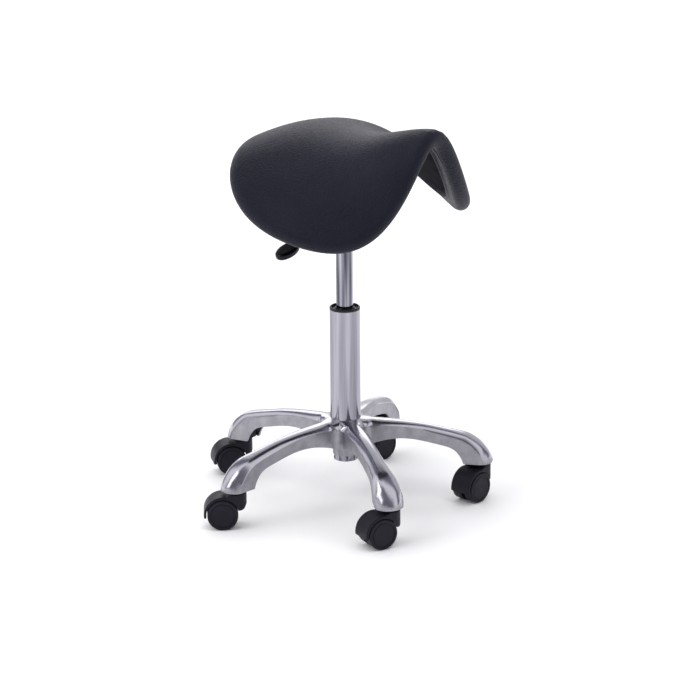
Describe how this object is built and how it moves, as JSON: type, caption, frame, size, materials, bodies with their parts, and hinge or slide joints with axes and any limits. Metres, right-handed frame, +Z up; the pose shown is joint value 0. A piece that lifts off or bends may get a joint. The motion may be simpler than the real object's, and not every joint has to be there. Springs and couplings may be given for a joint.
{
  "type": "dentist stool",
  "caption": "Saddle-seat dental stool on a gas-lift column with a side lever paddle, a star polished base and twin-wheel casters.",
  "frame": {"origin": "on the floor, on the axis of the column", "axes": "+Z up along the column; -Y towards the pommel end of the saddle; -X towards the lever paddle"},
  "size_m": [0.4868, 0.4679, 0.6454],
  "materials": {
    "upholstery": "satin, fine grain",
    "cushion": "matte",
    "shell": "matte",
    "edge": "satin",
    "fasteners": "zinc plated",
    "mechanism": "satin black",
    "paddle": "gloss",
    "column": "polished",
    "lift_steel": "machined",
    "lift_polymer": "matte",
    "lift_rubber": "matte",
    "base_metal": "polished above, cast below",
    "caster_polymer": "satin",
    "wheel_polymer": "satin",
    "caster_steel": "machined"
  },
  "bodies": {
    "base": {"star_base": "base_metal", "stand_tube": "column", "guide_bush": "lift_polymer", "thrust_race_lower": "lift_steel", "caster_1_socket": "caster_polymer", "caster_1_stem": "caster_steel", "caster_2_socket": "caster_polymer", "caster_2_stem": "caster_steel", "caster_3_socket": "caster_polymer", "caster_3_stem": "caster_steel", "caster_4_socket": "caster_polymer", "caster_4_stem": "caster_steel", "caster_5_socket": "caster_polymer", "caster_5_stem": "caster_steel"},
    "rod": {"thrust_balls": "lift_steel", "thrust_race_upper": "lift_steel", "rubber_bumper": "lift_rubber", "piston_rod": "lift_steel", "piston": "lift_steel", "piston_seal": "lift_rubber", "rod_clip": "fasteners"},
    "seat": {"seat_cover": "upholstery", "seat_foam": "cushion", "seat_pan": "shell", "edge_trim": "edge", "tee_nuts": "fasteners", "seat_bolts": "fasteners", "spring_washers": "fasteners", "seat_plate": "mechanism", "taper_socket": "mechanism", "lever_pin": "fasteners", "pressure_cylinder": "column", "inner_tube": "lift_steel", "rod_guide": "lift_polymer", "rod_seal": "lift_rubber", "valve_body": "lift_steel"},
    "lever": {"lever_rod": "mechanism", "lever_paddle": "paddle"},
    "button": {"release_button": "lift_steel"},
    "caster_1": {"caster_1_hood": "caster_polymer", "caster_1_axle": "caster_steel"},
    "caster_1_near": {"caster_1_wheel_near": "wheel_polymer"},
    "caster_1_far": {"caster_1_wheel_far": "wheel_polymer"},
    "caster_2": {"caster_2_hood": "caster_polymer", "caster_2_axle": "caster_steel"},
    "caster_2_near": {"caster_2_wheel_near": "wheel_polymer"},
    "caster_2_far": {"caster_2_wheel_far": "wheel_polymer"},
    "caster_3": {"caster_3_hood": "caster_polymer", "caster_3_axle": "caster_steel"},
    "caster_3_near": {"caster_3_wheel_near": "wheel_polymer"},
    "caster_3_far": {"caster_3_wheel_far": "wheel_polymer"},
    "caster_4": {"caster_4_hood": "caster_polymer", "caster_4_axle": "caster_steel"},
    "caster_4_near": {"caster_4_wheel_near": "wheel_polymer"},
    "caster_4_far": {"caster_4_wheel_far": "wheel_polymer"},
    "caster_5": {"caster_5_hood": "caster_polymer", "caster_5_axle": "caster_steel"},
    "caster_5_near": {"caster_5_wheel_near": "wheel_polymer"},
    "caster_5_far": {"caster_5_wheel_far": "wheel_polymer"}
  },
  "joints": [
    {"name": "seat_swivel", "type": "hinge", "parent": "base", "child": "rod", "pos_m": [0, 0, 0.0796], "axis": [0, 0, 1], "continuous": true},
    {"name": "seat_lift", "type": "slide", "parent": "rod", "child": "seat", "axis": [0, 0, 1], "range_m": [-0.14, 0]},
    {"name": "lever_pivot", "type": "hinge", "parent": "seat", "child": "lever", "pos_m": [-0.03, 0, 0.559], "axis": [0, 1, 0], "range_deg": [0, 7.5], "stiffness_Nm_per_rad": 3, "springref_deg": -5.73},
    {"name": "button_press", "type": "slide", "parent": "seat", "child": "button", "axis": [0, 0, -1], "range_m": [0, 0.004]},
    {"name": "caster_1_swivel", "type": "hinge", "parent": "base", "child": "caster_1", "pos_m": [0.13055, -0.17708, 0.06], "axis": [0, 0, 1], "continuous": true},
    {"name": "caster_1_near_roll", "type": "hinge", "parent": "caster_1", "child": "caster_1_near", "pos_m": [0.11064, -0.17523, 0.025], "axis": [-0.0924, -0.9957, 0], "continuous": true},
    {"name": "caster_1_far_roll", "type": "hinge", "parent": "caster_1", "child": "caster_1_far", "pos_m": [0.11064, -0.17523, 0.025], "axis": [-0.0924, -0.9957, 0], "continuous": true},
    {"name": "caster_2_swivel", "type": "hinge", "parent": "base", "child": "caster_2", "pos_m": [-0.12807, -0.17888, 0.06], "axis": [0, 0, 1], "continuous": true},
    {"name": "caster_2_near_roll", "type": "hinge", "parent": "caster_2", "child": "caster_2_near", "pos_m": [-0.1463, -0.17065, 0.025], "axis": [-0.4115, -0.9114, 0], "continuous": true},
    {"name": "caster_2_far_roll", "type": "hinge", "parent": "caster_2", "child": "caster_2_far", "pos_m": [-0.1463, -0.17065, 0.025], "axis": [-0.4115, -0.9114, 0], "continuous": true},
    {"name": "caster_3_swivel", "type": "hinge", "parent": "base", "child": "caster_3", "pos_m": [-0.2097, 0.06652, 0.06], "axis": [0, 0, 1], "continuous": true},
    {"name": "caster_3_near_roll", "type": "hinge", "parent": "caster_3", "child": "caster_3_near", "pos_m": [-0.22248, 0.08191, 0.025], "axis": [-0.7694, -0.6388, 0], "continuous": true},
    {"name": "caster_3_far_roll", "type": "hinge", "parent": "caster_3", "child": "caster_3_far", "pos_m": [-0.22248, 0.08191, 0.025], "axis": [-0.7694, -0.6388, 0], "continuous": true},
    {"name": "caster_4_swivel", "type": "hinge", "parent": "base", "child": "caster_4", "pos_m": [-0.00154, 0.21999, 0.06], "axis": [0, 0, 1], "continuous": true},
    {"name": "caster_4_near_roll", "type": "hinge", "parent": "caster_4", "child": "caster_4_near", "pos_m": [-0.01679, 0.23293, 0.025], "axis": [-0.6468, -0.7627, 0], "continuous": true},
    {"name": "caster_4_far_roll", "type": "hinge", "parent": "caster_4", "child": "caster_4_far", "pos_m": [-0.01679, 0.23293, 0.025], "axis": [-0.6468, -0.7627, 0], "continuous": true},
    {"name": "caster_5_swivel", "type": "hinge", "parent": "base", "child": "caster_5", "pos_m": [0.20875, 0.06944, 0.06], "axis": [0, 0, 1], "continuous": true},
    {"name": "caster_5_near_roll", "type": "hinge", "parent": "caster_5", "child": "caster_5_near", "pos_m": [0.18896, 0.07233, 0.025], "axis": [-0.1444, -0.9895, 0], "continuous": true},
    {"name": "caster_5_far_roll", "type": "hinge", "parent": "caster_5", "child": "caster_5_far", "pos_m": [0.18896, 0.07233, 0.025], "axis": [-0.1444, -0.9895, 0], "continuous": true}
  ],
  "couplings": [
    {"joint": "button_press", "follows": "lever_pivot", "m_per_rad": 0.03}
  ]
}
